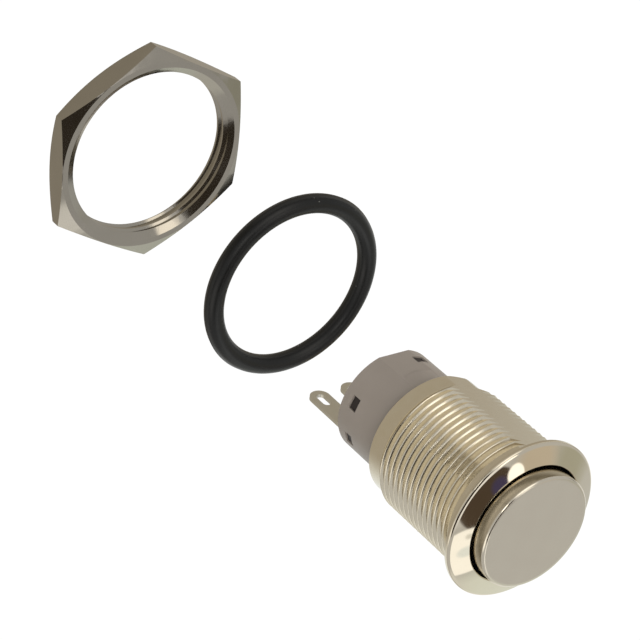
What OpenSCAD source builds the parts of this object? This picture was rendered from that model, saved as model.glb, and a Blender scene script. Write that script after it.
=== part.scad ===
// Anti vandal push button for a 19 mm panel hole, momentary, raised round head.
// +Z runs along the button's axis, out of the front of the panel.
// The origin is on that axis, in the plane of the flange's rear face, where the panel seats.
// The nut and the panel seal lie beside the switch, taken off, with their axes parallel to Z.

/* [Housing] */
// Outside diameter of the M19 thread
thread_d = 19; // [18:0.1:19.6]
// Pitch of the thread
thread_pitch = 1; // [0.75:0.25:1.25]
// Length of the plain shank between the flange and the thread
shank_len = 1.2; // [0.6:0.1:2]
// How far the flange stands out past the thread's crests
flange_lap = 1.5; // [1:0.05:3.5]
// Height of the straight rim of the flange
rim_h = 0.5; // [0.3:0.1:1.2]
// Height of the whole bevel above the straight rim
bevel_h = 1.0; // [0.8:0.1:1.6]
// Width of the small edge bevel between the straight rim and the wide bevel
rim_edge_w = 0.4; // [0.2:0.05:0.6]
// Height of that edge bevel
rim_edge_h = 0.3; // [0.1:0.05:0.5]
// Width of the narrow land between the bevel and the bore
land_w = 0.15; // [0.05:0.05:0.4]
// Length of the barrel behind the panel face
barrel_len = 19; // [18:0.5:30]
// Length of the plain collar at the barrel's rear end
collar_len = 2.6; // [1.5:0.1:4]
// Length of the taper from the collar to the thread's crests
collar_taper = 1.0; // [0.6:0.1:1.5]
// How far the collar lies under the thread's crests
collar_step = 0.65; // [0.3:0.05:0.7]
// Lead-in chamfer on the rear edge of the collar
lead_in = 0.3; // [0.1:0.05:0.5]
// Depth of the anti-rotation flat, from the thread's crests
flat_depth = 0.85; // [0.4:0.05:0.95]
// Depth of the web inside the barrel, from the panel face
web_depth = 9.5; // [8.5:0.1:11]
// Thickness of the web
web_t = 1.6; // [1:0.1:2.4]

/* [Button] */
// Wall of the barrel round the button, from the thread's crests to the bore
bore_wall = 1.3; // [1.1:0.05:1.6]
// Gap between the cap and the bore, all round
cap_gap = 0.3; // [0.2:0.05:0.4]
// Height of the button's face above the straight rim
cap_proud = 3.0; // [2.4:0.1:4]
// Whole height of the cap
cap_h = 7.1; // [6.4:0.1:8]
// Thickness of the cap's face
face_t = 1.2; // [0.8:0.1:1.6]
// Thickness of the cap's skirt
skirt_t = 1.9; // [1.7:0.1:2.2]
// Bevel round the edge of the face
face_bevel = 0.25; // [0.1:0.05:0.6]
// How far the button travels when it is pressed
travel = 2.5; // [1.5:0.1:3]
// Thickness of the seal in the cap's groove
cap_seal_t = 1.1; // [1:0.05:1.2]
// Height of the boss under the face, where the plunger is pressed in
boss_h = 2.3; // [1.9:0.1:2.6]
// Diameter of the boss
boss_d = 7; // [6:0.2:8]

/* [Plunger and guide] */
// Diameter of the plunger's stem
stem_d = 5; // [4.4:0.1:5.4]
// Gap between the cap's skirt and the plunger's head, which the spring pushes on
head_gap = 0.5; // [0.3:0.05:0.8]
// Thickness of the plunger's head
head_t = 1.2; // [0.8:0.1:1.6]
// Diameter of the spigot that is pressed into the cap
spigot_d = 3; // [2.4:0.1:3.6]
// Length of that spigot
spigot_len = 1.6; // [1:0.1:1.8]
// Wall of the guide bush
bush_wall = 1.4; // [1:0.1:1.8]
// Thickness of the guide bush's flange
bush_flange_t = 0.6; // [0.4:0.1:1]
// Length of the guide bush behind the front of the web
bush_len = 3.6; // [2.8:0.1:4.4]
// Thickness of the retaining clip
clip_t = 0.6; // [0.4:0.1:0.8]
// Diameter of the retaining clip
clip_d = 8.4; // [7.6:0.1:9]
// Depth of the groove that the clip sits in
clip_groove = 0.5; // [0.3:0.05:0.7]
// Diameter of the return spring's wire
spring_wire = 0.8; // [0.5:0.05:0.9]
// Turns of the return spring
spring_turns = 5; // [3:0.5:5]

/* [Contact block] */
// Wall of the barrel round the contact block, from the collar to the block's bore
collar_wall = 1.3; // [1.1:0.05:1.6]
// Wall of the shell
shell_wall = 0.7; // [0.6:0.05:0.75]
// How far the shell stands out behind the barrel
shell_proud = 8.55; // [7.5:0.05:12]
// Turn of the contact block about the axis, from the barrel's flat
block_turn = 21; // [0:1:45]
// Depth of the flat on the shell
shell_flat_depth = 0.36; // [0.2:0.01:0.5]
// Length of the flat on the shell, from its rear end
shell_flat_len = 5.1; // [3:0.1:6]
// Distance of the snap windows' centres from the shell's rear end
window_from_end = 2.2; // [1.8:0.1:3]
// Length of a snap window along the axis
window_len = 1.4; // [1:0.1:1.8]
// Width of a snap window round the shell
window_w = 1.8; // [1.4:0.1:2.4]
// Thickness of the gasket in front of the shell
gasket_t = 0.8; // [0.5:0.1:1.2]
// Thickness of the base that holds the terminals
base_t = 3.0; // [2.6:0.1:3.2]
// Depth of the sealing resin behind the base
resin_t = 0.5; // [0.3:0.1:0.8]

/* [Terminals] */
// Distance of the row of terminals from the axis
row_offset = 2.8; // [2.4:0.1:2.9]
// Rim of the base outside the outer terminals
blade_rim = 0.27; // [0.2:0.01:1]
// Width of a solder lug
lug_w = 2.8; // [2:0.1:2.8]
// Thickness of the terminal strip
lug_t = 0.5; // [0.4:0.05:0.8]
// How far the lugs stand out behind the shell
lug_len = 8.65; // [5:0.05:10]
// Width of the slot in a lug
slot_w = 1.2; // [0.6:0.1:1.4]
// Length of the slot in a lug
slot_len = 2.6; // [1.6:0.1:3]
// Distance of the slot's end from the lug's tip
slot_from_tip = 0.9; // [0.6:0.1:1.4]
// Width of the blade inside the block
blade_w = 1.6; // [1.2:0.1:1.7]

/* [Contacts] */
// Diameter of a fixed contact's button
pad_d = 1.3; // [0.8:0.1:1.5]
// Height of a fixed contact above its blade
pad_h = 0.4; // [0.3:0.05:0.5]
// Thickness of the moving contact strip
strip_t = 0.3; // [0.2:0.05:0.4]
// Height of the moving contact strip
strip_h = 1.6; // [1.2:0.1:2]
// Height of the carrier that holds the moving contact
carrier_h = 3.8; // [3.4:0.1:5]
// Distance from the front of the carrier to the contact line
contact_drop = 2.0; // [1.8:0.1:2.4]
// Length of the foot that holds the carrier
foot_len = 1.2; // [0.8:0.1:1.4]

/* [Nut and panel seal] */
// Wall of the nut at its flats, outside the thread's crests
nut_wall = 0.9; // [0.7:0.05:2.5]
// Thickness of the nut
nut_t = 2.7; // [2.2:0.1:4]
// How far inside the flats the nut's chamfers start
nut_chamfer_in = 0.05; // [0:0.05:0.3]
// Angle of the chamfer on the nut's upper face
nut_top_angle = 20; // [10:1:25]
// Angle of the chamfer on the nut's lower face
nut_low_angle = 32; // [15:1:35]
// Width of the countersink at both ends of the nut's hole
nut_sink_w = 0.8; // [0.4:0.05:1]
// Depth of the countersink
nut_sink_h = 0.45; // [0.3:0.05:0.8]
// Turn of the loose nut about its own axis
nut_turn = 23.2; // [0:0.2:59.8]
// How much narrower the panel seal's hole is than the thread that it grips
seal_grip = 1; // [0.4:0.1:2]
// Thickness of the panel seal
seal_t = 2.2; // [1.4:0.1:2.6]
// Direction of the loose panel seal from the switch's axis
seal_angle = 243; // [220:1:260]
// Distance of the loose panel seal from the switch's axis
seal_away = 43.5; // [30:0.5:60]
// Direction of the loose nut from the panel seal
nut_angle = 246; // [220:1:260]
// Distance of the loose nut from the panel seal
nut_away = 28; // [26:0.5:40]
// How far the loose pieces lie behind the panel face
loose_drop = 12.7; // [4:0.1:30]

/* [Hidden] */
$fn = 96;
fit = 0.05;             // clearance of pieces that fit in each other
press = 0.02;           // clearance of pieces that are pressed together
cut = 1;                // how far a cutting solid runs past the face it cuts

rim_z = rim_h;
face_z = rim_z + cap_proud;
land_z = rim_z + bevel_h;
thread_r = thread_d / 2;
flange_d = thread_d + 2 * flange_lap;
thread_depth = 0.6134 * thread_pitch;
thread_root_r = thread_r - thread_depth;
thread_flank = thread_depth * tan(30);
thread_z = barrel_len - collar_len - collar_taper;
bore_r = thread_r - bore_wall;
cap_r = bore_r - cap_gap;
collar_r = thread_r - collar_step;
web_z = -web_depth;
web_rear_z = web_z - web_t;
barrel_rear_z = -barrel_len;
flat_x = -(thread_r - flat_depth);

skirt_in_r = cap_r - skirt_t;
skirt_z = face_z - cap_h;
groove_r = cap_r + cap_gap - fit - cap_seal_t - fit;
groove_w = cap_seal_t + 4 * fit;
groove_z = skirt_z + 1 + groove_w / 2;
boss_z = face_z - face_t - boss_h;

stem_r = stem_d / 2;
head_r = skirt_in_r - head_gap;
head_z = boss_z - head_t;
bush_r = stem_r + fit + bush_wall;
bush_flange_r = head_r - 0.25;
clip_lip = 0.3;
spring_z = web_z + bush_flange_t;
bush_rear_z = web_z - bush_len;
clip_z = bush_rear_z - fit;
clip_rear_z = clip_z - clip_t;
carrier_z = clip_rear_z - 1.6;
spring_len = head_z - spring_z;
spring_r = bush_flange_r - spring_wire / 2 - 0.1;

shell_r = collar_r - collar_wall - fit;
shell_in_r = shell_r - shell_wall;
shell_rear_z = barrel_rear_z - shell_proud;
shell_front_z = web_rear_z - gasket_t;
window_z = shell_rear_z + window_from_end;
window_angles = [0, 90, 132, 180, 270, 312];
base_r = shell_in_r - fit;
base_rear_z = shell_rear_z + resin_t;
base_front_z = base_rear_z + base_t;
catch_r = shell_r - 0.25;

lug_pitch = sqrt(pow(base_r, 2) - pow(row_offset + lug_t / 2, 2)) - blade_w / 2 - blade_rim;
blade_x = row_offset - lug_t / 2;
pad_x = blade_x - pad_h;
contact_z = carrier_z - contact_drop;
pressed_z = contact_z - travel;
blade_top = pad_d / 2 + 0.2;
dimple_r = 0.45;
neck_r = pad_x - 5 * fit;
strip_x = pad_x - fit - dimple_r;
strip_back_x = strip_x - strip_t;
carrier_back_x = -3;
carrier_half_w = lug_pitch + 0.4;
foot_r = 1.4;
pocket_r = 1.0;
pocket_depth = 1.3;
pocket_z = contact_z;

nut_bore_r = (thread_d - 1.0825 * thread_pitch) / 2;
nut_af = thread_d + 2 * nut_wall;
nut_corner_r = nut_af / 2 / cos(30);
seal_d = thread_d - seal_grip;
seal_x = seal_away * cos(seal_angle);
seal_y = seal_away * sin(seal_angle);
nut_x = seal_x + nut_away * cos(nut_angle);
nut_y = seal_y + nut_away * sin(nut_angle);

// Ring with a rectangular section between two radii and two heights
module ring(r_out, r_in, z_low, z_high) {
    translate([0, 0, z_low])
        difference() {
            cylinder(h = z_high - z_low, r = r_out);
            translate([0, 0, -cut])
                cylinder(h = z_high - z_low + 2 * cut, r = r_in);
        }
}

// Points of one round wire section of a coil that winds up the Z axis
function coil_section(mean_r, wire_r, rise, angle, sides) = [
    for (k = [0 : sides - 1])
        let (q = 360 * k / sides)
        [(mean_r + wire_r * cos(q)) * cos(angle),
         (mean_r + wire_r * cos(q)) * sin(angle),
         rise * angle / 360 + wire_r * sin(q)]
];

// Coil spring that stands on z = 0, with its outer height given
module coil(mean_r, wire_r, height, turns, steps, sides) {
    rise = (height - 2 * wire_r) / turns;
    rings = turns * steps;
    points = [
        for (i = [0 : rings])
            each coil_section(mean_r, wire_r, rise, 360 * i / steps, sides)
    ];
    skin = [
        for (i = [0 : rings - 1], k = [0 : sides - 1])
            let (a = i * sides + k, b = i * sides + (k + 1) % sides)
            each [[a, a + sides, b], [b, a + sides, b + sides]]
    ];
    start = [for (k = [0 : sides - 1]) k];
    end = [for (k = [sides - 1 : -1 : 0]) rings * sides + k];
    translate([0, 0, wire_r])
        polyhedron(points = points, faces = concat(skin, [start], [end]), convexity = 10);
}

// Corners of one 60 degree thread groove below a crest that ends at a height
function thread_groove(top) = [
    [thread_r, top],
    [thread_root_r, top - thread_flank],
    [thread_root_r, top + thread_flank - 7 / 8 * thread_pitch],
    [thread_r, top - 7 / 8 * thread_pitch]
];

// Turned barrel: flange and bevel in front, thread drawn as rings, web inside
module housing() {
    color("#b9ab8c")
        difference() {
            rotate_extrude()
                polygon([
                    [bush_r + press, web_z], [bore_r, web_z], [bore_r, land_z - land_w],
                    [bore_r + land_w, land_z],
                    [flange_d / 2 - rim_edge_w, rim_z + rim_edge_h],
                    [flange_d / 2, rim_z], [flange_d / 2, 0],
                    [thread_r, 0],
                    each [
                        for (top = [-shank_len : -thread_pitch : thread_pitch - thread_z - fit])
                            each thread_groove(top)
                    ],
                    [thread_r, -thread_z],
                    [collar_r, barrel_rear_z + collar_len],
                    [collar_r, barrel_rear_z + lead_in], [collar_r - lead_in, barrel_rear_z],
                    [shell_r + fit, barrel_rear_z], [shell_r + fit, web_rear_z],
                    [bush_r + press, web_rear_z]
                ]);
            translate([flat_x - thread_d, -thread_d / 2, barrel_rear_z - cut])
                cube([thread_d, thread_d, barrel_len + cut]);
        }
}

// Nickel-plated cap: face, skirt with the seal's groove, and the boss for the plunger
module button_cap() {
    color("#b3ac9f")
        rotate_extrude()
            polygon([
                [0, face_z], [cap_r - face_bevel, face_z], [cap_r, face_z - face_bevel],
                [cap_r, groove_z + groove_w / 2], [groove_r, groove_z + groove_w / 2],
                [groove_r, groove_z - groove_w / 2], [cap_r, groove_z - groove_w / 2],
                [cap_r, skirt_z], [skirt_in_r, skirt_z], [skirt_in_r, face_z - face_t],
                [boss_d / 2, face_z - face_t], [boss_d / 2, boss_z],
                [spigot_d / 2 + press, boss_z], [spigot_d / 2 + press, boss_z + spigot_len + fit],
                [0, boss_z + spigot_len + fit]
            ]);
}

// Rubber ring that slides with the cap in the bore
module cap_seal() {
    color("#1d1d1c")
        translate([0, 0, groove_z])
            rotate_extrude()
                translate([groove_r + fit + cap_seal_t / 2, 0])
                    circle(d = cap_seal_t, $fn = 32);
}

// Moulded plunger: spigot, head, stem with the clip's groove, and foot
module plunger() {
    color("#d9d5c9")
        rotate_extrude()
            polygon([
                [0, boss_z + spigot_len], [spigot_d / 2, boss_z + spigot_len],
                [spigot_d / 2, boss_z], [head_r, boss_z], [head_r, head_z],
                [stem_r, head_z], [stem_r, clip_z + fit], [stem_r - clip_groove, clip_z + fit],
                [stem_r - clip_groove, clip_rear_z - fit], [stem_r, clip_rear_z - fit],
                [stem_r, clip_rear_z - fit - clip_lip], [neck_r, clip_rear_z - fit - clip_lip],
                [neck_r, carrier_z], [foot_r, carrier_z], [foot_r, carrier_z - foot_len],
                [0, carrier_z - foot_len]
            ]);
}

// Flanged bush pressed into the web, which guides the stem and seats the spring
module guide_bush() {
    color("#e4e0d6")
        rotate_extrude()
            polygon([
                [stem_r + fit, spring_z], [bush_flange_r, spring_z], [bush_flange_r, web_z],
                [bush_r, web_z], [bush_r, bush_rear_z], [stem_r + fit, bush_rear_z]
            ]);
}

// Steel coil that brings the button back
module return_spring() {
    color("#a8a8a6")
        translate([0, 0, spring_z + press])
            coil(spring_r, spring_wire / 2, spring_len - 2 * press, spring_turns, 24, 10);
}

// Snap ring in the stem's groove, open on one side so that it can be pushed on
module retaining_clip() {
    color("#8d8c88")
        translate([0, 0, clip_rear_z])
            linear_extrude(clip_t)
                difference() {
                    circle(d = clip_d);
                    circle(r = stem_r - clip_groove + press);
                    translate([0, -(stem_r - clip_groove) * 0.8])
                        square([clip_d, (stem_r - clip_groove) * 1.6]);
                }
}

// Rubber washer between the web and the contact block
module block_gasket() {
    color("#262523")
        ring(shell_r - fit, bush_r + 0.6, shell_front_z, web_rear_z);
}

// One snap window or one catch, standing out from the axis at an angle
module radial_block(angle, r_low, r_high, width, length, z_mid) {
    rotate(angle)
        translate([r_low, -width / 2, z_mid - length / 2])
            cube([r_high - r_low, width, length]);
}

// Grey moulded shell of the contact block, with its flat and snap windows
module contact_shell() {
    color("#867d75")
        difference() {
            ring(shell_r, shell_in_r, shell_rear_z, shell_front_z);
            for (angle = window_angles)
                radial_block(angle, shell_in_r - cut, shell_r + cut, window_w, window_len, window_z);
            rotate(block_turn)
                translate([-3 * shell_r + shell_flat_depth, -shell_r, shell_rear_z - cut])
                    cube([2 * shell_r, 2 * shell_r, shell_flat_len + cut]);
        }
}

// Opening for one terminal, at its place in the row
module in_row(place) {
    rotate(block_turn)
        translate([row_offset, place * lug_pitch, 0])
            children();
}

// Dark insulating base with the catches that snap into the shell's windows
module terminal_base() {
    color("#2b2523")
        difference() {
            union() {
                translate([0, 0, base_rear_z])
                    cylinder(h = base_t, r = base_r);
                for (angle = window_angles)
                    radial_block(angle, base_r - 1, catch_r, window_w - 4 * fit,
                                 window_len - 4 * fit, window_z);
            }
            for (place = [-1 : 1])
                in_row(place)
                    translate([-lug_t / 2 - press, -blade_w / 2 - press, base_rear_z - cut])
                        cube([lug_t + 2 * press, blade_w + 2 * press, base_t + 2 * cut]);
        }
}

// Resin that is poured in behind the base, round the lugs
module sealing_resin() {
    color("#35322f")
        difference() {
            translate([0, 0, shell_rear_z])
                cylinder(h = resin_t, r = base_r);
            for (place = [-1 : 1])
                in_row(place)
                    translate([-lug_t / 2 - press, -blade_w / 2 - press, shell_rear_z - cut])
                        cube([lug_t + 2 * press, blade_w + 2 * press, resin_t + 2 * cut]);
        }
}

// Outline of a terminal in its own plane: X across the strip, Y along the axis
module terminal_outline(top_z) {
    tip = shell_rear_z - lug_len;
    slot_low = tip + slot_from_tip + slot_w / 2;
    difference() {
        union() {
            translate([0, tip + lug_w / 2])
                circle(d = lug_w);
            translate([-lug_w / 2, tip + lug_w / 2])
                square([lug_w, lug_len - lug_w / 2]);
            translate([-blade_w / 2, shell_rear_z - cut])
                square([blade_w, top_z - shell_rear_z + cut]);
        }
        for (end = [0, slot_len - slot_w])
            translate([0, slot_low + end])
                circle(d = slot_w);
        translate([-slot_w / 2, slot_low])
            square([slot_w, slot_len - slot_w]);
    }
}

// Tinned strip: solder lug outside, shoulders on the resin, blade inside
module terminal(place, top_z) {
    color("#beb9aa")
        in_row(place)
            rotate([90, 0, 90])
                translate([0, 0, -lug_t / 2])
                    linear_extrude(lug_t)
                        terminal_outline(top_z);
}

module terminal_common() { terminal(0, contact_z + blade_top); }
module terminal_open() { terminal(1, pressed_z + blade_top); }
module terminal_closed() { terminal(-1, contact_z + blade_top); }

// Silver contact on the side of a blade that faces the carrier
module contact_button(place, z_mid) {
    color("#d6d6d2")
        in_row(place)
            translate([-lug_t / 2 - pad_h, 0, z_mid])
                rotate([0, 90, 0])
                    cylinder(h = pad_h, d = pad_d, $fn = 32);
}

// The common contact is a bar, so that the strip stays on it all the way
module fixed_contact_common() {
    color("#d6d6d2")
        in_row(0)
            translate([-lug_t / 2 - pad_h, -pad_d / 2, pressed_z - pad_d / 2])
                cube([pad_h, pad_d, travel + pad_d]);
}

module fixed_contact_open() { contact_button(1, pressed_z); }
module fixed_contact_closed() { contact_button(-1, contact_z); }

// Carrier on the plunger's foot, with a pocket for the strip's spring
module contact_carrier() {
    color("#c9c1ae")
        difference() {
            rotate(block_turn)
                translate([carrier_back_x, -carrier_half_w, carrier_z - carrier_h])
                    cube([strip_back_x - fit - carrier_back_x, 2 * carrier_half_w, carrier_h]);
            translate([0, 0, carrier_z - foot_len - fit])
                cylinder(h = foot_len + fit + cut, r = foot_r + press);
            rotate(block_turn)
                translate([strip_back_x - fit - pocket_depth, 0, pocket_z - strip_h / 2])
                    rotate([0, 90, 0])
                        cylinder(h = pocket_depth + cut, r = pocket_r);
        }
}

// Moving contact: a strip with three rounded ribs that bridge the fixed contacts
module contact_strip() {
    color("#b87d4b")
        rotate(block_turn)
            union() {
                translate([strip_back_x, -carrier_half_w, contact_z - strip_h / 2])
                    cube([strip_t, 2 * carrier_half_w, strip_h]);
                for (place = [-1 : 1])
                    intersection() {
                        translate([strip_x, place * lug_pitch, contact_z])
                            sphere(r = dimple_r, $fn = 32);
                        translate([strip_x - strip_t / 2, place * lug_pitch - 1, contact_z - 1])
                            cube([2, 2, 2]);
                    }
            }
}

// Small coil in the carrier's pocket that presses the strip on the contacts
module strip_spring() {
    color("#a8a8a6")
        rotate(block_turn)
            translate([strip_back_x - fit - pocket_depth + press, 0, pocket_z - strip_h / 2])
                rotate([0, 90, 0])
                    coil(pocket_r - 0.25, 0.125, pocket_depth + fit - 2 * press, 3, 16, 8);
}

// Thin hexagon nut, chamfered on both faces, with a countersunk thread hole
module hex_nut() {
    start_r = nut_af / 2 - nut_chamfer_in;
    low_drop = (nut_corner_r - start_r) * tan(nut_low_angle);
    top_drop = (nut_corner_r - start_r) * tan(nut_top_angle);
    past = cut * nut_sink_w / nut_sink_h;
    color("#8f8a80")
        translate([nut_x, nut_y, -loose_drop - nut_t])
            rotate(nut_turn)
                difference() {
                    intersection() {
                        cylinder(h = nut_t, r = nut_corner_r, $fn = 6);
                        rotate_extrude()
                            polygon([
                                [0, 0], [start_r, 0], [nut_corner_r, low_drop],
                                [nut_corner_r, nut_t - top_drop], [start_r, nut_t], [0, nut_t]
                            ]);
                    }
                    rotate_extrude()
                        polygon([
                            [0, -cut], [nut_bore_r + nut_sink_w + past, -cut],
                            [nut_bore_r, nut_sink_h], [nut_bore_r, nut_t - nut_sink_h],
                            [nut_bore_r + nut_sink_w + past, nut_t + cut], [0, nut_t + cut]
                        ]);
                }
}

// Rubber ring that seals the flange on the panel
module panel_seal() {
    color("#20201e")
        translate([seal_x, seal_y, -loose_drop])
            rotate_extrude()
                translate([(seal_d + seal_t) / 2, 0])
                    circle(d = seal_t, $fn = 48);
}

housing();
button_cap();
cap_seal();
plunger();
guide_bush();
return_spring();
retaining_clip();
block_gasket();
contact_shell();
terminal_base();
sealing_resin();
terminal_common();
terminal_open();
terminal_closed();
fixed_contact_common();
fixed_contact_open();
fixed_contact_closed();
contact_carrier();
contact_strip();
strip_spring();
hex_nut();
panel_seal();
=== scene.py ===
"""Anti vandal push button with its nut and panel seal taken off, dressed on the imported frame."""

import logging
import math
from collections.abc import Sequence
from dataclasses import dataclass, replace
from enum import Enum
from typing import Any

import bpy
from mathutils import Matrix, Vector


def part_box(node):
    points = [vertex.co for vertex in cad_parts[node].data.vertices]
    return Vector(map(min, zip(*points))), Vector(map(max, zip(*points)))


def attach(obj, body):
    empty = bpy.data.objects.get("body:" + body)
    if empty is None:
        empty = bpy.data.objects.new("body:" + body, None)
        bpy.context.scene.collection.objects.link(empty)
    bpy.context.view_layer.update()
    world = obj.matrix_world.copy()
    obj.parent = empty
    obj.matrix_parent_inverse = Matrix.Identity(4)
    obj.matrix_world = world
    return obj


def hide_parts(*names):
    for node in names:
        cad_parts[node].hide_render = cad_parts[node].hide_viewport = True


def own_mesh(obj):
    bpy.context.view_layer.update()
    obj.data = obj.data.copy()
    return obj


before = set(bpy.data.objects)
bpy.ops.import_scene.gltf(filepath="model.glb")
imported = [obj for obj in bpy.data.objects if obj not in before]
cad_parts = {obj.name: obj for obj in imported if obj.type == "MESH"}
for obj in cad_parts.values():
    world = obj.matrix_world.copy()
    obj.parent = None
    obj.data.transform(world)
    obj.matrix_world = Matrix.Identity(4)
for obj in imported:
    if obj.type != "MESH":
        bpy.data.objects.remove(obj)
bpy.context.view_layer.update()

log = logging.getLogger("push_button")

MM = 0.001  # the pieces are modelled in millimetres and stored in metres
WELD = 0.0005  # points closer than this are one, in millimetres
NOISE = (0.3, 0.7)  # nearly all of a noise texture's values lie between these
FLANK = math.radians(30)  # slope of a metric thread's flanks
PAST = 0.08  # how far a thread's cutter stands clear of what it cuts, in millimetres
Object = bpy.types.Object
Material = bpy.types.Material
Point = tuple[float, float]
Colour = tuple[float, float, float]


class Body(Enum):
    """The two bodies of the frame."""

    SWITCH = "switch"
    BUTTON = "button"


class Slot(Enum):
    """Names of the record's material slots."""

    NICKEL = "nickel_plate"
    RUBBER = "rubber"
    GREY_PLASTIC = "grey_plastic"


def linear(hex_colour: str) -> tuple[float, float, float, float]:
    """Turns an sRGB hex colour into linear light.

    Args:
        hex_colour: six hex digits with a leading hash.

    Returns:
        Red, green, blue and an alpha of one.
    """
    parts = [int(hex_colour[i : i + 2], 16) / 255 for i in (1, 3, 5)]
    light = [c / 12.92 if c <= 0.04045 else ((c + 0.055) / 1.055) ** 2.4 for c in parts]
    return (light[0], light[1], light[2], 1.0)


def add_node(
    tree: bpy.types.NodeTree, kind: str, inputs: dict[str | int, Any] | None = None, **settings: Any
) -> bpy.types.Node:
    """Adds one node with its settings, values and links.

    Args:
        tree: the node tree that gets the node.
        kind: the node's type name.
        inputs: socket name or number to a value, or to the output socket that feeds it.
        settings: properties of the node.

    Returns:
        The new node.
    """
    node = tree.nodes.new(kind)
    for name, value in settings.items():
        setattr(node, name, value)
    for socket, value in (inputs or {}).items():
        if isinstance(value, bpy.types.NodeSocket):
            tree.links.new(value, node.inputs[socket])
        else:
            node.inputs[socket].default_value = value
    return node


def fresh_material(name: str) -> tuple[Material, bpy.types.NodeTree]:
    """Makes an empty node material.

    Args:
        name: the material's name.

    Returns:
        The material and its node tree.
    """
    material = bpy.data.materials.new(name)
    material.use_nodes = True
    material.node_tree.nodes.clear()
    return material, material.node_tree


def dress(piece: Object, material: Material) -> None:
    """Gives a piece one material.

    Args:
        piece: the mesh object.
        material: the material for all its faces.
    """
    piece.data.materials.clear()
    piece.data.materials.append(material)


@dataclass(frozen=True)
class Nickel:
    """Nickel plate on turned brass: a warm pale metal whose gloss depends on how it was cut."""

    name: str
    colour: str
    shade: str
    roughness: float
    swing: float  # how much the roughness wanders
    mark_mm: float  # spacing of the turning marks, drawn coarser than real so that they show
    mark_depth_mm: float
    cloud_mm: float = 3.0  # size of the soft patches in the plate
    around_axis: tuple[float, float] = (0.0, 0.0)  # where the piece was chucked, in metres

    def material(self) -> Material:
        """Builds the metal.

        Returns:
            The finished material.
        """
        material, tree = fresh_material(self.name)
        place = add_node(tree, "ShaderNodeTexCoord").outputs["Object"]
        centred = add_node(
            tree,
            "ShaderNodeMapping",
            {"Vector": place, "Location": (-self.around_axis[0], -self.around_axis[1], 0.0)},
        ).outputs["Vector"]
        split = add_node(tree, "ShaderNodeSeparateXYZ", {"Vector": centred})
        flat = add_node(
            tree, "ShaderNodeCombineXYZ", {"X": split.outputs["X"], "Y": split.outputs["Y"]}
        )
        radius = add_node(
            tree, "ShaderNodeVectorMath", {0: flat.outputs["Vector"]}, operation="LENGTH"
        )
        ring = add_node(
            tree, "ShaderNodeCombineXYZ", {"X": radius.outputs["Value"], "Z": split.outputs["Z"]}
        )
        # Rings of constant radius and height are what a turning tool leaves.
        marks = add_node(
            tree,
            "ShaderNodeTexNoise",
            {"Vector": ring.outputs["Vector"], "Scale": 1 / (self.mark_mm * MM), "Detail": 2.0},
        )
        clouds = add_node(
            tree,
            "ShaderNodeTexNoise",
            {"Vector": place, "Scale": 1 / (self.cloud_mm * MM), "Detail": 3.0},
        )
        rough = add_node(
            tree,
            "ShaderNodeMapRange",
            {
                "Value": clouds.outputs["Fac"],
                "From Min": NOISE[0],
                "From Max": NOISE[1],
                "To Min": self.roughness - self.swing,
                "To Max": self.roughness + self.swing,
            },
        )
        tint = add_node(
            tree,
            "ShaderNodeMix",
            {
                0: clouds.outputs["Fac"],
                6: linear(self.shade),
                7: linear(self.colour),
            },
            data_type="RGBA",
        )
        bump = add_node(
            tree,
            "ShaderNodeBump",
            {
                "Height": marks.outputs["Fac"],
                "Distance": self.mark_depth_mm * MM,
                "Strength": 1.0,
            },
        )
        shader = add_node(
            tree,
            "ShaderNodeBsdfPrincipled",
            {
                "Base Color": tint.outputs[2],
                "Metallic": 1.0,
                "Roughness": rough.outputs["Result"],
                "Normal": bump.outputs["Normal"],
            },
        )
        add_node(tree, "ShaderNodeOutputMaterial", {"Surface": shader.outputs["BSDF"]})
        return material


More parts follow.
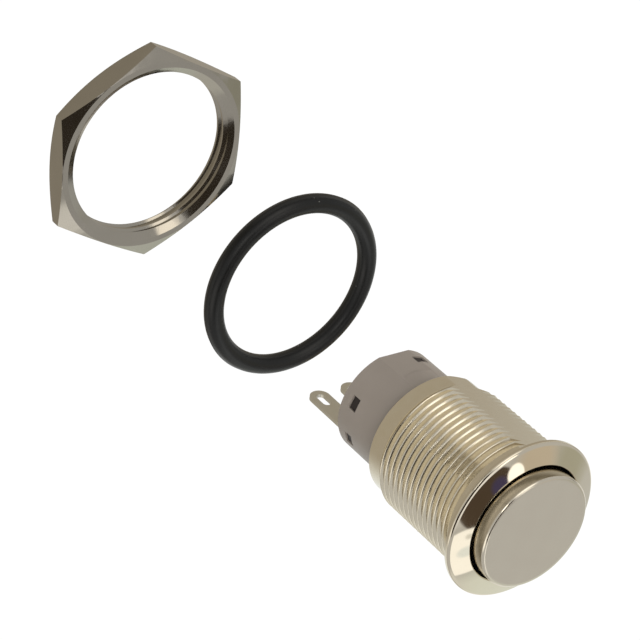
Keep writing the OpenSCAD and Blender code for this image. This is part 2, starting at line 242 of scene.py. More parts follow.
@dataclass(frozen=True)
class Moulded:
    """A moulded or poured material: plastic, rubber or resin, with the mould's fine grain."""

    name: str
    colour: str
    shade: str
    roughness: float
    swing: float
    grain_mm: float
    grain_depth_mm: float
    cloud_mm: float = 4.0
    speck: str | None = None  # colour of dust that lies on the surface
    speck_mm: float = 0.5
    speck_share: float = 0.0  # more specks show as it grows
    speck_level: float = 0.8  # the noise's height at which a speck starts
    speck_edge: float = 0.04  # over which it fades in
    ior: float = 1.5

    def material(self) -> Material:
        """Builds the moulded material.

        Returns:
            The finished material.
        """
        material, tree = fresh_material(self.name)
        place = add_node(tree, "ShaderNodeTexCoord").outputs["Object"]
        grain = add_node(
            tree,
            "ShaderNodeTexNoise",
            {"Vector": place, "Scale": 1 / (self.grain_mm * MM), "Detail": 3.0},
        )
        clouds = add_node(
            tree,
            "ShaderNodeTexNoise",
            {"Vector": place, "Scale": 1 / (self.cloud_mm * MM), "Detail": 2.0},
        )
        colour = add_node(
            tree,
            "ShaderNodeMix",
            {0: clouds.outputs["Fac"], 6: linear(self.shade), 7: linear(self.colour)},
            data_type="RGBA",
        ).outputs[2]
        if self.speck:
            dots = add_node(
                tree,
                "ShaderNodeTexNoise",
                {"Vector": place, "Scale": 1 / (self.speck_mm * MM), "Detail": 1.0},
            )
            there = add_node(
                tree,
                "ShaderNodeMapRange",
                {
                    "Value": dots.outputs["Fac"],
                    "From Min": self.speck_level - self.speck_share,
                    "From Max": self.speck_level + self.speck_edge - self.speck_share,
                },
            )
            colour = add_node(
                tree,
                "ShaderNodeMix",
                {0: there.outputs["Result"], 6: colour, 7: linear(self.speck)},
                data_type="RGBA",
            ).outputs[2]
        rough = add_node(
            tree,
            "ShaderNodeMapRange",
            {
                "Value": clouds.outputs["Fac"],
                "From Min": NOISE[0],
                "From Max": NOISE[1],
                "To Min": self.roughness - self.swing,
                "To Max": self.roughness + self.swing,
            },
        )
        bump = add_node(
            tree,
            "ShaderNodeBump",
            {
                "Height": grain.outputs["Fac"],
                "Distance": self.grain_depth_mm * MM,
                "Strength": 1.0,
            },
        )
        shader = add_node(
            tree,
            "ShaderNodeBsdfPrincipled",
            {
                "Base Color": colour,
                "Roughness": rough.outputs["Result"],
                "IOR": self.ior,
                "Normal": bump.outputs["Normal"],
            },
        )
        add_node(tree, "ShaderNodeOutputMaterial", {"Surface": shader.outputs["BSDF"]})
        return material


def select_nothing() -> None:
    """Leaves nothing selected, because an operator acts on all that is."""
    if bpy.context.object and bpy.context.object.mode != "OBJECT":
        bpy.ops.object.mode_set(mode="OBJECT")
    bpy.ops.object.select_all(action="DESELECT")


def take(piece: Object) -> Object:
    """Makes a piece the only selected and the active one.

    Args:
        piece: the object to work on.

    Returns:
        The same object.
    """
    select_nothing()
    piece.select_set(True)
    bpy.context.view_layer.objects.active = piece
    return piece


def apply_modifier(piece: Object, kind: str, **settings: Any) -> None:
    """Adds a modifier to a piece and applies it.

    Args:
        piece: the object to change.
        kind: the modifier's type name.
        settings: properties of the modifier.
    """
    take(piece)
    modifier = piece.modifiers.new(kind.lower(), kind)
    for name, value in settings.items():
        setattr(modifier, name, value)
    bpy.ops.object.modifier_apply(modifier=modifier.name)


def weld() -> None:
    """Merges doubled points of the mesh in edit mode and leaves all of it selected."""
    bpy.ops.mesh.select_all(action="SELECT")
    bpy.ops.mesh.remove_doubles(threshold=WELD)
    bpy.ops.mesh.select_all(action="SELECT")


def draw_section(name: str, section: Sequence[Point], closed: bool) -> Object:
    """Draws a section in the XZ plane, point by point, and stays in edit mode.

    Args:
        name: the new object's name.
        section: radius and height of each point, in millimetres.
        closed: whether the last point is joined to the first.

    Returns:
        The object, with its wire selected.
    """
    select_nothing()
    bpy.ops.mesh.primitive_plane_add(size=1.0, location=(0.0, 0.0, 0.0))
    piece = bpy.context.active_object
    piece.name = name
    bpy.ops.object.mode_set(mode="EDIT")
    bpy.ops.mesh.select_mode(type="VERT")
    bpy.ops.mesh.select_all(action="SELECT")
    bpy.ops.mesh.merge(type="CENTER")
    bpy.ops.transform.translate(value=(section[0][0], 0.0, section[0][1]))
    points = [*section, section[0]] if closed else list(section)
    for (r0, z0), (r1, z1) in zip(points, points[1:]):
        bpy.ops.mesh.extrude_region_move(
            TRANSFORM_OT_translate={"value": (r1 - r0, 0.0, z1 - z0)}
        )
    weld()
    return piece


def turned(name: str, section: Sequence[Point], steps: int, closed: bool = True) -> Object:
    """Turns a section round the Z axis.

    Args:
        name: the new object's name.
        section: radius and height of each point, in millimetres.
        steps: faces round the axis.
        closed: whether the section is a closed outline off the axis.

    Returns:
        The turned piece.
    """
    piece = draw_section(name, section, closed)
    bpy.ops.mesh.spin(
        steps=steps, angle=math.tau, center=(0.0, 0.0, 0.0), axis=(0.0, 0.0, 1.0), dupli=False
    )
    weld()
    bpy.ops.mesh.normals_make_consistent(inside=False)
    bpy.ops.object.mode_set(mode="OBJECT")
    return piece


def thread_tool(
    name: str,
    groove: Sequence[Point],
    pitch: float,
    turns: int,
    steps: int,
    low_z: float,
    start: float,
) -> Object:
    """Makes the helical tool that cuts a right-handed thread.

    Args:
        name: the tool's name.
        groove: closed section of the groove, in millimetres.
        pitch: advance of one turn.
        turns: whole turns.
        steps: faces in a turn.
        low_z: height at which the tool starts.
        start: angle at which it starts, in degrees.

    Returns:
        The tool, as a closed solid.
    """
    tool = draw_section(name, groove, closed=True)
    bpy.ops.object.mode_set(mode="OBJECT")
    apply_modifier(
        tool,
        "SCREW",
        angle=math.tau,
        screw_offset=pitch,
        iterations=turns,
        steps=steps,
        render_steps=steps,
        use_merge_vertices=False,
    )
    take(tool)
    bpy.ops.object.mode_set(mode="EDIT")
    weld()
    bpy.ops.mesh.fill_holes(sides=len(groove))
    bpy.ops.mesh.select_all(action="SELECT")
    bpy.ops.mesh.normals_make_consistent(inside=False)
    bpy.ops.object.mode_set(mode="OBJECT")
    tool.location.z = low_z
    tool.rotation_euler.z = math.radians(start)
    bpy.ops.object.transform_apply(location=True, rotation=True, scale=True)
    return tool


def cut(piece: Object, tool: Object, operation: str = "DIFFERENCE") -> None:
    """Cuts a piece with a tool, or keeps what they share, and throws the tool away.

    Args:
        piece: the object to cut.
        tool: the cutting solid.
        operation: the boolean operation.
    """
    apply_modifier(piece, "BOOLEAN", object=tool, operation=operation, solver="EXACT")
    bpy.data.objects.remove(tool)


def block(name: str, low: Sequence[float], high: Sequence[float], turn: float = 0.0) -> Object:
    """Adds a rectangular cutting block.

    Args:
        name: the block's name.
        low: lowest corner, in millimetres.
        high: highest corner.
        turn: turn about the Z axis, in degrees.

    Returns:
        The block.
    """
    select_nothing()
    centre = [(a + b) / 2 for a, b in zip(low, high)]
    bpy.ops.mesh.primitive_cube_add(size=1.0, location=centre)
    piece = bpy.context.active_object
    piece.name = name
    piece.scale = [b - a for a, b in zip(low, high)]
    bpy.ops.object.transform_apply(location=True, rotation=True, scale=True)
    piece.rotation_euler.z = math.radians(turn)
    bpy.ops.object.transform_apply(location=True, rotation=True, scale=True)
    return piece


def soften(piece: Object, width: float, angle: float = 25.0, segments: int = 2) -> None:
    """Rounds a piece's sharp edges a little.

    Args:
        piece: the object to change.
        width: width of the rounding, in millimetres.
        angle: edges sharper than this are rounded, in degrees.
        segments: faces across the rounding.
    """
    apply_modifier(
        piece,
        "BEVEL",
        width=width,
        segments=segments,
        limit_method="ANGLE",
        angle_limit=math.radians(angle),
        use_clamp_overlap=True,
        miter_outer="MITER_ARC",
    )


def place_piece(piece: Object, at: Sequence[float], turn: float = 0.0) -> None:
    """Turns a piece made in millimetres to metres and stores its place in its mesh.

    Args:
        piece: the finished mesh.
        at: where its own origin goes, in millimetres.
        turn: turn about its axis, in degrees.
    """
    take(piece)
    piece.rotation_euler.z = math.radians(turn)
    bpy.ops.object.transform_apply(location=True, rotation=True, scale=True)
    piece.location = [a * MM for a in at]
    piece.scale = (MM, MM, MM)
    bpy.ops.object.transform_apply(location=True, rotation=True, scale=True)


def hand_over(
    piece: Object, material: Material, body: Body, node: str, smooth: float = 28.0
) -> None:
    """Shades, dresses and mounts a finished piece in place of its CAD node.

    Args:
        piece: the mesh in metres.
        material: its finish.
        body: the body that it rides on.
        node: the CAD node that it stands for.
        smooth: edges sharper than this stay sharp, in degrees.
    """
    take(piece)
    bpy.ops.object.shade_smooth_by_angle(angle=math.radians(smooth))
    # Narrow roundings take the bend, and the wide faces beside them stay flat.
    apply_modifier(piece, "WEIGHTED_NORMAL", keep_sharp=True, weight=80)
    if not piece.data.materials:
        dress(piece, material)
    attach(piece, body.value)
    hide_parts(node)
    log.info("%s: %d faces, rides on %s", piece.name, len(piece.data.polygons), body.value)


# Nickel over brass on the cap's turned face: an even satin grey-beige.
CAP_NICKEL = Nickel("satin_nickel_cap", "#D9D1C0", "#D5CCBB", 0.14, 0.02, 0.12, 0.0002)
# The same plate on the polished flange: a mirror that keeps the edges of what it shows.
FLANGE_NICKEL = Nickel("bright_nickel_flange", "#DCD3C0", "#D6CCB8", 0.05, 0.015, 0.2, 0.0001)
# The same plate on the cut thread, where the tool's chatter breaks the mirror into sparks. Its
# colour is painted a little paler than the flange's, as painted light that lifts the shade between
# the turns.
THREAD_NICKEL = Nickel("nickel_on_cut_thread", "#E4DCCA", "#DCD2BC", 0.17, 0.04, 0.3, 0.0012, 1.2)
# The nut is pressed from bar and plated bright, a little greyer.
NUT_NICKEL = Nickel("nickel_on_nut", "#ADA79C", "#A29C90", 0.12, 0.03, 0.2, 0.0004)
# Tin plate on brass strip: pale, soft and slightly rough.
TIN = Nickel("tin_plated_strip", "#DAD6CA", "#CCC7B9", 0.38, 0.06, 0.2, 0.001, 1.2)
# Drawn spring wire, bare steel: a cool grey with a dull sheen along the coil.
SPRING_STEEL = Nickel("drawn_spring_steel", "#B9B7B2", "#A6A49F", 0.32, 0.05, 0.2, 0.0005)
# Fine silver, pressed: the palest metal here, soft and white.
SILVER = Nickel("fine_silver_contact", "#E6E4DE", "#D5D2CB", 0.25, 0.04, 0.2, 0.0005)
# Phosphor bronze, rolled strip: a brown-orange metal with a fine even gloss.
BRONZE = Nickel("rolled_phosphor_bronze", "#C98F5C", "#B87D4B", 0.3, 0.05, 0.2, 0.0005)
# Glass-filled nylon from a spark-eroded mould: an even grey-brown with a satin bloom.
GREY_NYLON = Moulded("satin_grey_nylon", "#8E857C", "#867D74", 0.42, 0.05, 0.12, 0.004)
# The same nylon coloured dark brown: nearly black and matt in the shell's windows.
DARK_NYLON = Moulded("dark_brown_nylon", "#241B1A", "#1E1716", 0.55, 0.05, 0.12, 0.004)
# Acetal, moulded: a slippery milky white with a low waxy gloss.
ACETAL = Moulded("white_acetal", "#DCD8CC", "#D3CFC2", 0.35, 0.04, 0.15, 0.002)
# Epoxy, poured and set: a dark glossy skin with slow waves.
RESIN = Moulded("poured_epoxy", "#383431", "#2E2B28", 0.22, 0.08, 0.9, 0.02)
# Nitrile rubber, moulded and lightly greased: near black with soft broad highlights.
NITRILE = Moulded(
    "moulded_nitrile",
    "#0E0E0D",
    "#0A0A09",
    0.34,
    0.06,
    0.25,
    0.004,
    cloud_mm=3.0,
    speck="#6E6C66",
    speck_mm=0.45,
    speck_share=0.03,
    ior=1.38,
)


@dataclass
class Housing:
    """Turned barrel with its bevelled flange, thread, flat and inner web."""

    flange_r: float = 11.0
    rim_z: float = 0.5
    edge_w: float = 0.4
    edge_h: float = 0.3
    bevel_top: float = 1.5
    bore_r: float = 8.2
    land_w: float = 0.15
    thread_r: float = 9.5
    thread_depth: float = 0.6134
    pitch: float = 1.0
    thread_turns: int = 15
    thread_start: float = 67.0  # where the thread runs in, in degrees about the axis
    crest_round: float = 0.18  # the plate and the cutting leave the crests round
    shank_len: float = 1.2
    edge_round: float = 0.07
    rear_z: float = -19.0
    collar_len: float = 2.6
    taper: float = 1.0
    collar_r: float = 8.85
    lead_in: float = 0.3
    flat_x: float = -8.65
    web_z: float = -9.5
    web_rear_z: float = -11.1
    bush_r: float = 3.97
    shell_bore_r: float = 7.55
    steps: int = 144

    def section(self) -> list[Point]:
        """Draws the turned blank.

        Returns:
            Radius and height of each point of its outline, in millimetres.
        """
        return [
            (self.bush_r, self.web_z),
            (self.bore_r, self.web_z),
            (self.bore_r, self.bevel_top - self.land_w),
            (self.bore_r + self.land_w, self.bevel_top),
            (self.flange_r - self.edge_w, self.rim_z + self.edge_h),
            (self.flange_r, self.rim_z),
            (self.flange_r, 0.0),
            (self.thread_r, 0.0),
            (self.thread_r, self.rear_z + self.collar_len + self.taper),
            (self.collar_r, self.rear_z + self.collar_len),
            (self.collar_r, self.rear_z + self.lead_in),
            (self.collar_r - self.lead_in, self.rear_z),
            (self.shell_bore_r, self.rear_z),
            (self.shell_bore_r, self.web_rear_z),
            (self.bush_r, self.web_rear_z),
        ]

    def build(self) -> Object:
        """Turns the blank, cuts the thread and mills the flat.

        Returns:
            The housing.
        """
        piece = turned("housing_turned", self.section(), self.steps)
        soften(piece, self.edge_round)
        # The groove's cutter is seven sixteenths of a pitch wide on each side at its mouth.
        top = -self.shank_len - 0.4375 * self.pitch
        tool = thread_tool(
            "thread_tool",
            self.groove(),
            self.pitch,
            self.thread_turns,
            self.steps,
            top - self.thread_turns * self.pitch,
            self.thread_start,
        )
        cut(piece, tool)
        clear = self.flange_r + 1.0
        low = (-clear, -clear, self.rear_z - 1.0)
        cut(piece, block("flat_mill", low, (self.flat_x, clear, 0.0)))
        place_piece(piece, (0.0, 0.0, 0.0))
        return piece

    def groove(self) -> list[Point]:
        """Draws the groove's cutter, which also rounds the crests beside it.

        Returns:
            Radius and height of each point of its outline, in millimetres.
        """
        crown = []
        for angle in (60, 45, 30, 15, 5):
            across, along = math.cos(math.radians(angle)), math.sin(math.radians(angle))
            crown.append(
                (self.crest_round * (1 - across), self.pitch / 2 - self.crest_round * along)
            )
        first_deep, first_wide = crown[0]
        root_wide = first_wide - (self.thread_depth - first_deep) * math.tan(FLANK)
        outline = ((self.thread_depth, root_wide), *crown, (-PAST, crown[-1][1]))
        side = [(self.thread_r - deep, wide) for deep, wide in outline]
        return [(r, -wide) for r, wide in side] + [(r, wide) for r, wide in reversed(side)]

    def add(self) -> None:
        """Builds the housing, bright on the flange and cut on the barrel."""
        piece = self.build()
        piece.data.materials.append(THREAD_NICKEL.material())
        piece.data.materials.append(FLANGE_NICKEL.material())
        seat = -0.02 * MM  # faces above this belong to the flange
        for face in piece.data.polygons:
            face.material_index = int(face.center.z > seat)
        hand_over(piece, piece.data.materials[0], Body.SWITCH, "housing")


@dataclass
class PushCap:
    """Raised round cap with its skirt, seal groove and boss."""

    face_z: float = 3.5
    cap_r: float = 7.9
    face_bevel: float = 0.25
    face_run: float = 0.4  # the face starts to fall this far inside its bevel
    face_fall: float = 0.01
    edge_round: float = 0.06
    skirt_z: float = -3.6
    skirt_in_r: float = 6.0
    face_t: float = 1.2
    groove_r: float = 7.0
    groove_low: float = -2.6
    groove_high: float = -1.3
    boss_r: float = 3.5
    boss_z: float = 0.0
    socket_r: float = 1.52
    socket_z: float = 1.65
    steps: int = 144

    def section(self) -> list[Point]:
        """Draws the cap from the centre of its face to the end of its socket.

        Returns:
            Radius and height of each point, in millimetres.
        """
        under = self.face_z - self.face_t
        return [
            (0.0, self.face_z),
            (self.cap_r - self.face_bevel - self.face_run, self.face_z),
            (self.cap_r - self.face_bevel, self.face_z - self.face_fall),
            (self.cap_r, self.face_z - self.face_bevel),
            (self.cap_r, self.groove_high),
            (self.groove_r, self.groove_high),
            (self.groove_r, self.groove_low),
            (self.cap_r, self.groove_low),
            (self.cap_r, self.skirt_z),
            (self.skirt_in_r, self.skirt_z),
            (self.skirt_in_r, under),
            (self.boss_r, under),
            (self.boss_r, self.boss_z),
            (self.socket_r, self.boss_z),
            (self.socket_r, self.socket_z),
            (0.0, self.socket_z),
        ]

    def build(self) -> Object:
        """Turns the cap.

        Returns:
            The cap.
        """
        piece = turned("push_cap", self.section(), self.steps, closed=False)
        soften(piece, self.edge_round)
        place_piece(piece, (0.0, 0.0, 0.0))
        return piece

    def add(self) -> None:
        """Builds and dresses the cap."""
        piece = self.build()
        hand_over(piece, CAP_NICKEL.material(), Body.BUTTON, "button_cap")


@dataclass
class ContactShell:
    """Grey moulded shell of the contact block, with its flat and snap windows."""

    outer_r: float = 7.5
    wall: float = 0.7
    front_z: float = -11.9
    rear_z: float = -27.55
    turn: float = 21.0
    flat_depth: float = 0.36
    flat_len: float = 5.1
    window_z: float = -25.35
    window_len: float = 1.4
    window_w: float = 1.8
    windows: tuple[float, ...] = (0.0, 90.0, 132.0, 180.0, 270.0, 312.0)
    clear: float = 1.0  # how far the cutters stand out of the shell
    mill_out: float = 12.0  # how far out the flat's cutter reaches
    mill_half_w: float = 9.0
    edge_round: float = 0.08
    edge_angle: float = 35.0
    steps: int = 128

    def build(self) -> Object:
        """Turns the shell, cuts its windows and mills its flat.

        Returns:
            The shell.
        """
        inner = self.outer_r - self.wall
        piece = turned(
            "block_shell",
            [
                (self.outer_r, self.rear_z),
                (self.outer_r, self.front_z),
                (inner, self.front_z),
                (inner, self.rear_z),
            ],
            self.steps,
        )
        half_w, half_l = self.window_w / 2, self.window_len / 2
        for angle in self.windows:
            cut(
                piece,
                block(
                    "window",
                    (inner - self.clear, -half_w, self.window_z - half_l),
                    (self.outer_r + self.clear, half_w, self.window_z + half_l),
                    angle,
                ),
            )
        cut(
            piece,
            block(
                "flat",
                (-self.mill_out, -self.mill_half_w, self.rear_z - self.clear),
                (
                    -self.outer_r + self.flat_depth,
                    self.mill_half_w,
                    self.rear_z + self.flat_len,
                ),
                self.turn,
            ),
        )
        soften(piece, self.edge_round, angle=self.edge_angle)
        place_piece(piece, (0.0, 0.0, 0.0))
        return piece

    def add(self) -> None:
        """Builds and dresses the shell."""
        piece = self.build()
        hand_over(piece, GREY_NYLON.material(), Body.SWITCH, "contact_shell")


@dataclass
class HexNut:
    """Thin chamfered hexagon nut with a countersunk M19 thread, taken off."""

    across_flats: float = 20.8
    thickness: float = 2.7
    chamfer_in: float = 0.05
    top_angle: float = 20.0
    low_angle: float = 32.0
    cone_past: float = 0.3  # the chamfer's cone runs on this far past both faces
    cone_clear: float = 0.02  # and stands this far out from the corners
    plug_past: float = 1.0  # the drill and its countersinks run on this far too
    bore_r: float = 8.95875
    sink_w: float = 0.8
    sink_h: float = 0.45
    thread_r: float = 9.5
    pitch: float = 1.0
    thread_turns: int = 6
    thread_low: float = -1.7  # where the tap starts, below the nut
    thread_start: float = 150.0
    turn: float = 23.2
    edge_round: float = 0.07
    edge_angle: float = 18.0
    steps: int = 144

    def blank(self, corner: float) -> Object:
        """Saws the hexagon from bar.

        Args:
            corner: half the width across its corners, in millimetres.

        Returns:
            The hexagon, with its rear face at zero.
        """
        select_nothing()
        bpy.ops.mesh.primitive_cylinder_add(
            vertices=6,
            radius=corner,
            depth=self.thickness,
            location=(0.0, 0.0, self.thickness / 2),
        )
        piece = bpy.context.active_object
        piece.name = "nut_hexagon"
        # A six-sided primitive has a corner on +Y; the nut's own zero is a corner on +X.
        piece.rotation_euler.z = math.radians(90)
        bpy.ops.object.transform_apply(location=True, rotation=True, scale=True)
        return piece

    def chamfer(self, piece: Object, corner: float) -> None:
        """Turns the corners off both faces.

        Args:
            piece: the hexagon.
            corner: half the width across its corners, in millimetres.
        """
        start = self.across_flats / 2 - self.chamfer_in
        low_slope = math.tan(math.radians(self.low_angle))
        top_slope = math.tan(math.radians(self.top_angle))
        low_drop = (corner - start) * low_slope
        top_drop = (corner - start) * top_slope
        # The cone runs on past both faces, so that no two planes of the cut coincide.
        past = self.cone_past
        reach = corner + self.cone_clear
        cone = turned(
            "chamfer_tool",
            [
                (0.0, -past),
                (start - past / low_slope, -past),
                (reach, low_drop),
                (reach, self.thickness - top_drop),
                (start - past / top_slope, self.thickness + past),
                (0.0, self.thickness + past),
            ],
            self.steps,
            closed=False,
        )
        cut(piece, cone, "INTERSECT")

    def bore(self, piece: Object) -> None:
        """Drills and countersinks the hole.

        Args:
            piece: the chamfered hexagon.
        """
        past = self.plug_past
        mouth = self.bore_r + self.sink_w + past * self.sink_w / self.sink_h
        plug = turned(
            "bore_tool",
            [
                (0.0, -past),
                (mouth, -past),
                (self.bore_r, self.sink_h),
                (self.bore_r, self.thickness - self.sink_h),
                (mouth, self.thickness + past),
                (0.0, self.thickness + past),
            ],
            self.steps,
            closed=False,
        )
        cut(piece, plug)

    def tap(self, piece: Object) -> None:
        """Cuts the thread.

        Args:
            piece: the bored nut.
        """
        half = 0.375 * self.pitch  # half the groove's width at the bore
        deep = (self.thread_r - self.bore_r) * math.tan(FLANK)
        clear = PAST * math.tan(FLANK)
        groove = [
            (self.bore_r - PAST, -half - clear),
            (self.thread_r, -half + deep),
            (self.thread_r, half - deep),
            (self.bore_r - PAST, half + clear),
        ]
        tool = thread_tool(
            "tap",
            groove,
            self.pitch,
            self.thread_turns,
            self.steps,
            self.thread_low,
            self.thread_start,
        )
        cut(piece, tool)

    def add(self) -> None:
        """Builds and dresses the nut where its CAD node lies."""
        low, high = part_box("hex_nut")
        centre = (low + high) / 2
        corner = self.across_flats / 2 / math.cos(math.radians(30))
        piece = self.blank(corner)
        self.chamfer(piece, corner)
        self.bore(piece)
        soften(piece, self.edge_round, angle=self.edge_angle)
        self.tap(piece)
        place_piece(piece, (centre.x / MM, centre.y / MM, low.z / MM), self.turn)
        finish = replace(NUT_NICKEL, around_axis=(centre.x, centre.y))
        hand_over(piece, finish.material(), Body.SWITCH, "hex_nut", smooth=12.0)


@dataclass
class PanelSeal:
    """Rubber ring with the fine seam that its mould leaves."""

    inner_d: float = 18.0
    thick: float = 2.2
    seam: float = 0.04
    steps: int = 192
    section_steps: int = 48

    def build(self) -> Object:
        """Moulds the ring, with its seam round the outside.

        Returns:
            The ring, in millimetres round the origin.
        """
        select_nothing()
        bpy.ops.mesh.primitive_torus_add(
            major_radius=(self.inner_d + self.thick) / 2,
            minor_radius=self.thick / 2,
            major_segments=self.steps,
            minor_segments=self.section_steps,
        )
        piece = bpy.context.active_object
        piece.name = "seal_ring"
        outer = self.inner_d / 2 + self.thick
        for vertex in piece.data.vertices:
            vertex.select = math.hypot(vertex.co.x, vertex.co.y) > outer - 2 * WELD
        for edge in piece.data.edges:
            edge.select = False
        for face in piece.data.polygons:
            face.select = False
        bpy.ops.object.mode_set(mode="EDIT")
        bpy.ops.mesh.select_mode(type="VERT")
        grow = 1 + self.seam / outer
        bpy.ops.transform.resize(value=(grow, grow, 1.0), center_override=(0.0, 0.0, 0.0))
        bpy.ops.object.mode_set(mode="OBJECT")
        return piece

    def add(self) -> None:
        """Builds and dresses the ring where its CAD node lies."""
        low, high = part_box("panel_seal")
        piece = self.build()
        place_piece(piece, (low + high) / 2 / MM)
        hand_over(piece, NITRILE.material(), Body.SWITCH, "panel_seal", smooth=60.0)


@dataclass
class InnerWorks:
    """The CAD nodes that keep their shape and get their real materials."""

    travel_mm: float = 2.5  # how far the button goes in

    def add(self) -> None:
        """Dresses each node in its material."""
        finishes: tuple[tuple[Nickel | Moulded, tuple[str, ...]], ...] = (
            (TIN, ("terminal_common", "terminal_open", "terminal_closed")),
            (SPRING_STEEL, ("return_spring", "retaining_clip", "strip_spring")),
            (SILVER, ("fixed_contact_common", "fixed_contact_open", "fixed_contact_closed")),
            (BRONZE, ("contact_strip",)),
            (DARK_NYLON, ("terminal_base",)),
            (ACETAL, ("plunger", "guide_bush", "contact_carrier")),
            (RESIN, ("sealing_resin",)),
            (NITRILE, ("cap_seal", "block_gasket")),
        )
        for finish, nodes in finishes:
            material = finish.material()
            for node in nodes:
                dress(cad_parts[node], material)
                log.info("%s: dressed in %s", node, material.name)
        self.let_spring_shorten()

    def let_spring_shorten(self) -> None:
        """Gives the return spring a mesh of its own."""
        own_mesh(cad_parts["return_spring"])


@dataclass(frozen=True)
class SkyPatch:
    """A round patch of the studio that bright metal reflects."""

    aim: tuple[float, float, float]
    inner: float  # full strength inside this angle, in degrees
    outer: float  # gone outside this one
    colour: Colour


@dataclass(frozen=True)
class Softbox:
    """A square lamp that lights the matt pieces and isn't mirrored in the metal."""

    aim: tuple[float, float, float]  # from the object to the lamp
    distance: float
    size: float
    power: float


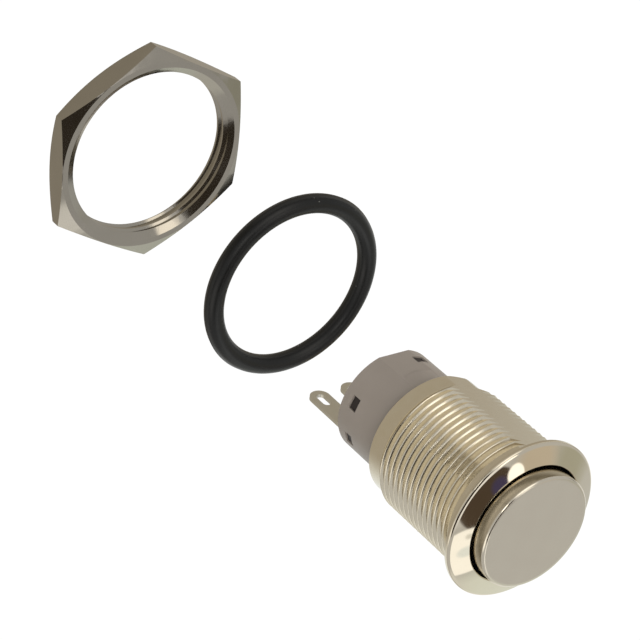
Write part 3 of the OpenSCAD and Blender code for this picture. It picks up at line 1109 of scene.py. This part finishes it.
@dataclass
class Studio:
    """Camera, lamps, sky and floor."""

    eye: tuple[float, float, float] = (-91.212, -209.325, 161.199)
    right: tuple[float, float, float] = (-0.40987, 0.72188, 0.55758)
    up: tuple[float, float, float] = (-0.86489, -0.11337, -0.48899)
    forward: tuple[float, float, float] = (0.28978, 0.68267, -0.67082)
    focal_px: float = 2300.0
    photo_px: float = 640.0
    sensor_mm: float = 36.0
    floor_z: float = -80.0
    floor_size: float = 3.0
    floor_grey: float = 0.6
    floor_glow: float = 1.06  # what the camera sees of the floor, where 1 is white
    glow_share: float = 0.87  # the rest of what it sees keeps the object's shadow
    near_table: Colour = (0.46, 0.42, 0.35)
    lit_table: Colour = (1.0, 1.04, 1.04)
    far_table: Colour = (0.95, 0.93, 0.88)
    lit_from_to: tuple[float, float] = (0.02, 0.14)  # metres towards +X +Y
    far_from_to: tuple[float, float] = (0.15, 0.27)  # metres from the origin
    flag_at: tuple[float, float, float] = (34.0, -98.0, 187.0)
    flag_size: tuple[float, float] = (250.0, 84.0)
    card: Colour = (0.045, 0.035, 0.025)
    sky: Colour = (0.62, 0.62, 0.62)
    wall: Colour = (0.2, 0.185, 0.15)
    wall_top: tuple[float, float] = (0.03, 0.2)  # where the wall gives way to the sky
    # A later patch lies over an earlier one.
    patches: tuple[SkyPatch, ...] = (
        # Pale walls across the room, low over the table.
        SkyPatch((0.25, 0.96, 0.05), 24, 34, (0.66, 0.67, 0.66)),
        SkyPatch((0.66, 0.72, 0.20), 14, 26, (0.88, 0.93, 0.88)),
        SkyPatch((0.85, 0.42, 0.34), 8, 16, (0.86, 0.87, 0.84)),
        # Warm dim wall and ceiling beyond the object.
        SkyPatch((-0.03, 0.86, 0.50), 6, 17, (0.5, 0.5, 0.42)),
        SkyPatch((-0.10, 0.60, 0.79), 7, 14, (0.67, 0.6, 0.5)),
        # Soft light from straight above and from both sides, for the thread and the cap's edge.
        SkyPatch((0.05, -0.12, 0.99), 16, 30, (1.1, 1.1, 1.12)),
        SkyPatch((-0.75, -0.25, 0.62), 14, 22, (1.7, 1.64, 1.54)),
        SkyPatch((0.66, -0.60, 0.44), 13, 20, (1.5, 1.46, 1.38)),
        # A dark card overhead, with a bluish spot.
        SkyPatch((0.175, 0.325, 0.93), 14.2, 15.0, (0.09, 0.065, 0.045)),
        SkyPatch((0.06, 0.34, 0.94), 3, 5, (0.075, 0.062, 0.13)),
        # Ceiling lamps.
        SkyPatch((-0.38, 0.10, 0.92), 7, 9, (2.2, 2.1, 1.95)),
        SkyPatch((-0.035, 0.44, 0.90), 4.0, 4.7, (1.7, 1.68, 1.66)),
        # The window, with two duller panes in it.
        SkyPatch((0.55, 0.40, 0.73), 13.2, 13.9, (1.38, 1.38, 1.36)),
        SkyPatch((0.46, 0.31, 0.83), 0.9, 1.8, (0.9, 0.9, 0.86)),
        SkyPatch((0.56, 0.38, 0.74), 2.4, 3.8, (1.06, 1.13, 1.15)),
        # A strong lamp behind the camera.
        SkyPatch((-0.24, -0.63, 0.74), 6, 8, (3.4, 3.3, 3.1)),
    )
    lamps: tuple[Softbox, ...] = (
        Softbox((-0.2, -0.5, 0.85), 1.2, 0.9, 7.0),
        Softbox((0.6, 0.4, 0.7), 1.2, 0.7, 4.0),
        Softbox((-0.5, 0.86, 0.15), 1.2, 0.5, 8.0),
    )

    def add_camera(self) -> None:
        """Sets the camera where the photograph was taken from."""
        data = bpy.data.cameras.new("photo_camera")
        data.sensor_width = self.sensor_mm
        data.lens = self.sensor_mm * self.focal_px / self.photo_px
        data.clip_start = 0.01
        data.clip_end = 20.0
        camera = bpy.data.objects.new("photo_camera", data)
        bpy.context.scene.collection.objects.link(camera)
        turn = Matrix((self.right, self.up, [-v for v in self.forward])).transposed()
        camera.matrix_world = Matrix.Translation(Vector(self.eye) * MM) @ turn.to_4x4()
        bpy.context.scene.camera = camera

    def add_sky(self) -> None:
        """Paints the studio that the metal reflects; the camera itself sees white."""
        world = bpy.data.worlds.new("studio")
        bpy.context.scene.world = world
        world.use_nodes = True
        tree = world.node_tree
        tree.nodes.clear()
        direction = add_node(tree, "ShaderNodeTexCoord").outputs["Generated"]
        height = add_node(tree, "ShaderNodeSeparateXYZ", {"Vector": direction})
        # The far walls of the room are dark up to a little above the table.
        above = add_node(
            tree,
            "ShaderNodeMapRange",
            {
                "Value": height.outputs["Z"],
                "From Min": self.wall_top[0],
                "From Max": self.wall_top[1],
            },
            interpolation_type="SMOOTHSTEP",
        )
        colour: Any = add_node(
            tree,
            "ShaderNodeMix",
            {0: above.outputs["Result"], 6: (*self.wall, 1.0), 7: (*self.sky, 1.0)},
            data_type="RGBA",
        ).outputs[2]
        for patch in self.patches:
            aim = add_node(
                tree,
                "ShaderNodeVectorMath",
                {0: direction, 1: Vector(patch.aim).normalized()},
                operation="DOT_PRODUCT",
            )
            near = add_node(
                tree,
                "ShaderNodeMapRange",
                {
                    "Value": aim.outputs["Value"],
                    "From Min": math.cos(math.radians(patch.outer)),
                    "From Max": math.cos(math.radians(patch.inner)),
                },
            )
            colour = add_node(
                tree,
                "ShaderNodeMix",
                {0: near.outputs["Result"], 6: colour, 7: (*patch.colour, 1.0)},
                data_type="RGBA",
            ).outputs[2]
        seen = add_node(tree, "ShaderNodeLightPath").outputs["Is Camera Ray"]
        shown = add_node(
            tree, "ShaderNodeMix", {0: seen, 6: colour, 7: (1.0, 1.0, 1.0, 1.0)}, data_type="RGBA"
        )
        glow = add_node(tree, "ShaderNodeBackground", {"Color": shown.outputs[2], "Strength": 1.0})
        add_node(tree, "ShaderNodeOutputWorld", {"Surface": glow.outputs["Background"]})

    def add_floor(self) -> None:
        """Lays a plain pale floor below the switch, white to the camera."""
        select_nothing()
        bpy.ops.mesh.primitive_plane_add(
            size=self.floor_size, location=(0.0, 0.0, self.floor_z * MM)
        )
        floor = bpy.context.active_object
        floor.name = "floor"
        bpy.ops.object.transform_apply(location=True, rotation=True, scale=True)
        dress(floor, self.floor_material())

    def floor_material(self) -> Material:
        """Makes the floor: white to the camera, a shaded table to the metal, matt to the rest.

        Returns:
            The floor's material.
        """
        material, tree = fresh_material("pale_floor")
        path = add_node(tree, "ShaderNodeLightPath")
        grey = (self.floor_grey, self.floor_grey, self.floor_grey, 1.0)
        matt = add_node(tree, "ShaderNodeBsdfDiffuse", {"Color": grey})
        white = add_node(
            tree,
            "ShaderNodeEmission",
            {"Color": (1.0, 1.0, 1.0, 1.0), "Strength": self.floor_glow},
        )
        seen = add_node(
            tree,
            "ShaderNodeMixShader",
            {0: self.glow_share, 1: matt.outputs["BSDF"], 2: white.outputs["Emission"]},
        )
        place = add_node(tree, "ShaderNodeTexCoord").outputs["Object"]
        split = add_node(tree, "ShaderNodeSeparateXYZ", {"Vector": place})
        across = add_node(
            tree,
            "ShaderNodeMath",
            {0: split.outputs["X"], 1: split.outputs["Y"]},
            operation="ADD",
        )
        # The table is lit from a window in its +X +Y corner, so metal shows it paler there.
        near = add_node(
            tree,
            "ShaderNodeMapRange",
            {
                "Value": across.outputs["Value"],
                "From Min": self.lit_from_to[0],
                "From Max": self.lit_from_to[1],
            },
            interpolation_type="SMOOTHSTEP",
        )
        table = add_node(
            tree,
            "ShaderNodeMix",
            {
                0: near.outputs["Result"],
                6: (*self.near_table, 1.0),
                7: (*self.lit_table, 1.0),
            },
            data_type="RGBA",
        )
        # The object and the camera shade the table near them; further out it is white.
        away = add_node(tree, "ShaderNodeVectorMath", {0: place}, operation="LENGTH")
        beyond = add_node(
            tree,
            "ShaderNodeMapRange",
            {
                "Value": away.outputs["Value"],
                "From Min": self.far_from_to[0],
                "From Max": self.far_from_to[1],
            },
            interpolation_type="SMOOTHSTEP",
        )
        table = add_node(
            tree,
            "ShaderNodeMix",
            {0: beyond.outputs["Result"], 6: table.outputs[2], 7: (*self.far_table, 1.0)},
            data_type="RGBA",
        )
        warm = add_node(tree, "ShaderNodeEmission", {"Color": table.outputs[2]})
        mirrored = add_node(
            tree,
            "ShaderNodeMixShader",
            {
                0: path.outputs["Is Glossy Ray"],
                1: matt.outputs["BSDF"],
                2: warm.outputs["Emission"],
            },
        )
        both = add_node(
            tree,
            "ShaderNodeMixShader",
            {
                0: path.outputs["Is Camera Ray"],
                1: mirrored.outputs["Shader"],
                2: seen.outputs["Shader"],
            },
        )
        add_node(tree, "ShaderNodeOutputMaterial", {"Surface": both.outputs["Shader"]})
        return material

    def add_flag(self) -> None:
        """Hangs a black card over the nut, which only the nut's bright faces show."""
        select_nothing()
        bpy.ops.mesh.primitive_plane_add(
            size=1.0, location=[a * MM for a in self.flag_at]
        )
        flag = bpy.context.active_object
        flag.name = "black_flag"
        flag.scale = (self.flag_size[0] * MM, self.flag_size[1] * MM, 1.0)
        bpy.ops.object.transform_apply(location=True, rotation=True, scale=True)
        material, tree = fresh_material("black_card")
        card = add_node(tree, "ShaderNodeEmission", {"Color": (*self.card, 1.0)})
        add_node(tree, "ShaderNodeOutputMaterial", {"Surface": card.outputs["Emission"]})
        dress(flag, material)
        flag.visible_camera = False
        flag.visible_diffuse = False
        flag.visible_shadow = False

    def add_lamp(self, box: Softbox) -> None:
        """Adds a soft square lamp that looks at the object.

        Args:
            box: where the lamp hangs, and its size in metres and power in watts.
        """
        data = bpy.data.lights.new("softbox", "AREA")
        data.size = box.size
        data.energy = box.power
        lamp = bpy.data.objects.new("softbox", data)
        bpy.context.scene.collection.objects.link(lamp)
        way = Vector(box.aim).normalized()
        lamp.location = way * box.distance
        lamp.rotation_euler = way.to_track_quat("Z", "Y").to_euler()
        lamp.visible_glossy = False
        lamp.visible_camera = False

    def add(self) -> None:
        """Sets up everything round the object."""
        self.add_camera()
        self.add_sky()
        self.add_floor()
        self.add_flag()
        for box in self.lamps:
            self.add_lamp(box)
        bpy.context.scene.view_settings.view_transform = "Standard"


def main() -> None:
    """Builds the scene and reports each piece."""
    logging.basicConfig(level=logging.INFO, format="%(message)s")
    Studio().add()
    Housing().add()
    PushCap().add()
    ContactShell().add()
    HexNut().add()
    PanelSeal().add()
    InnerWorks().add()


if __name__ == "__main__":
    main()
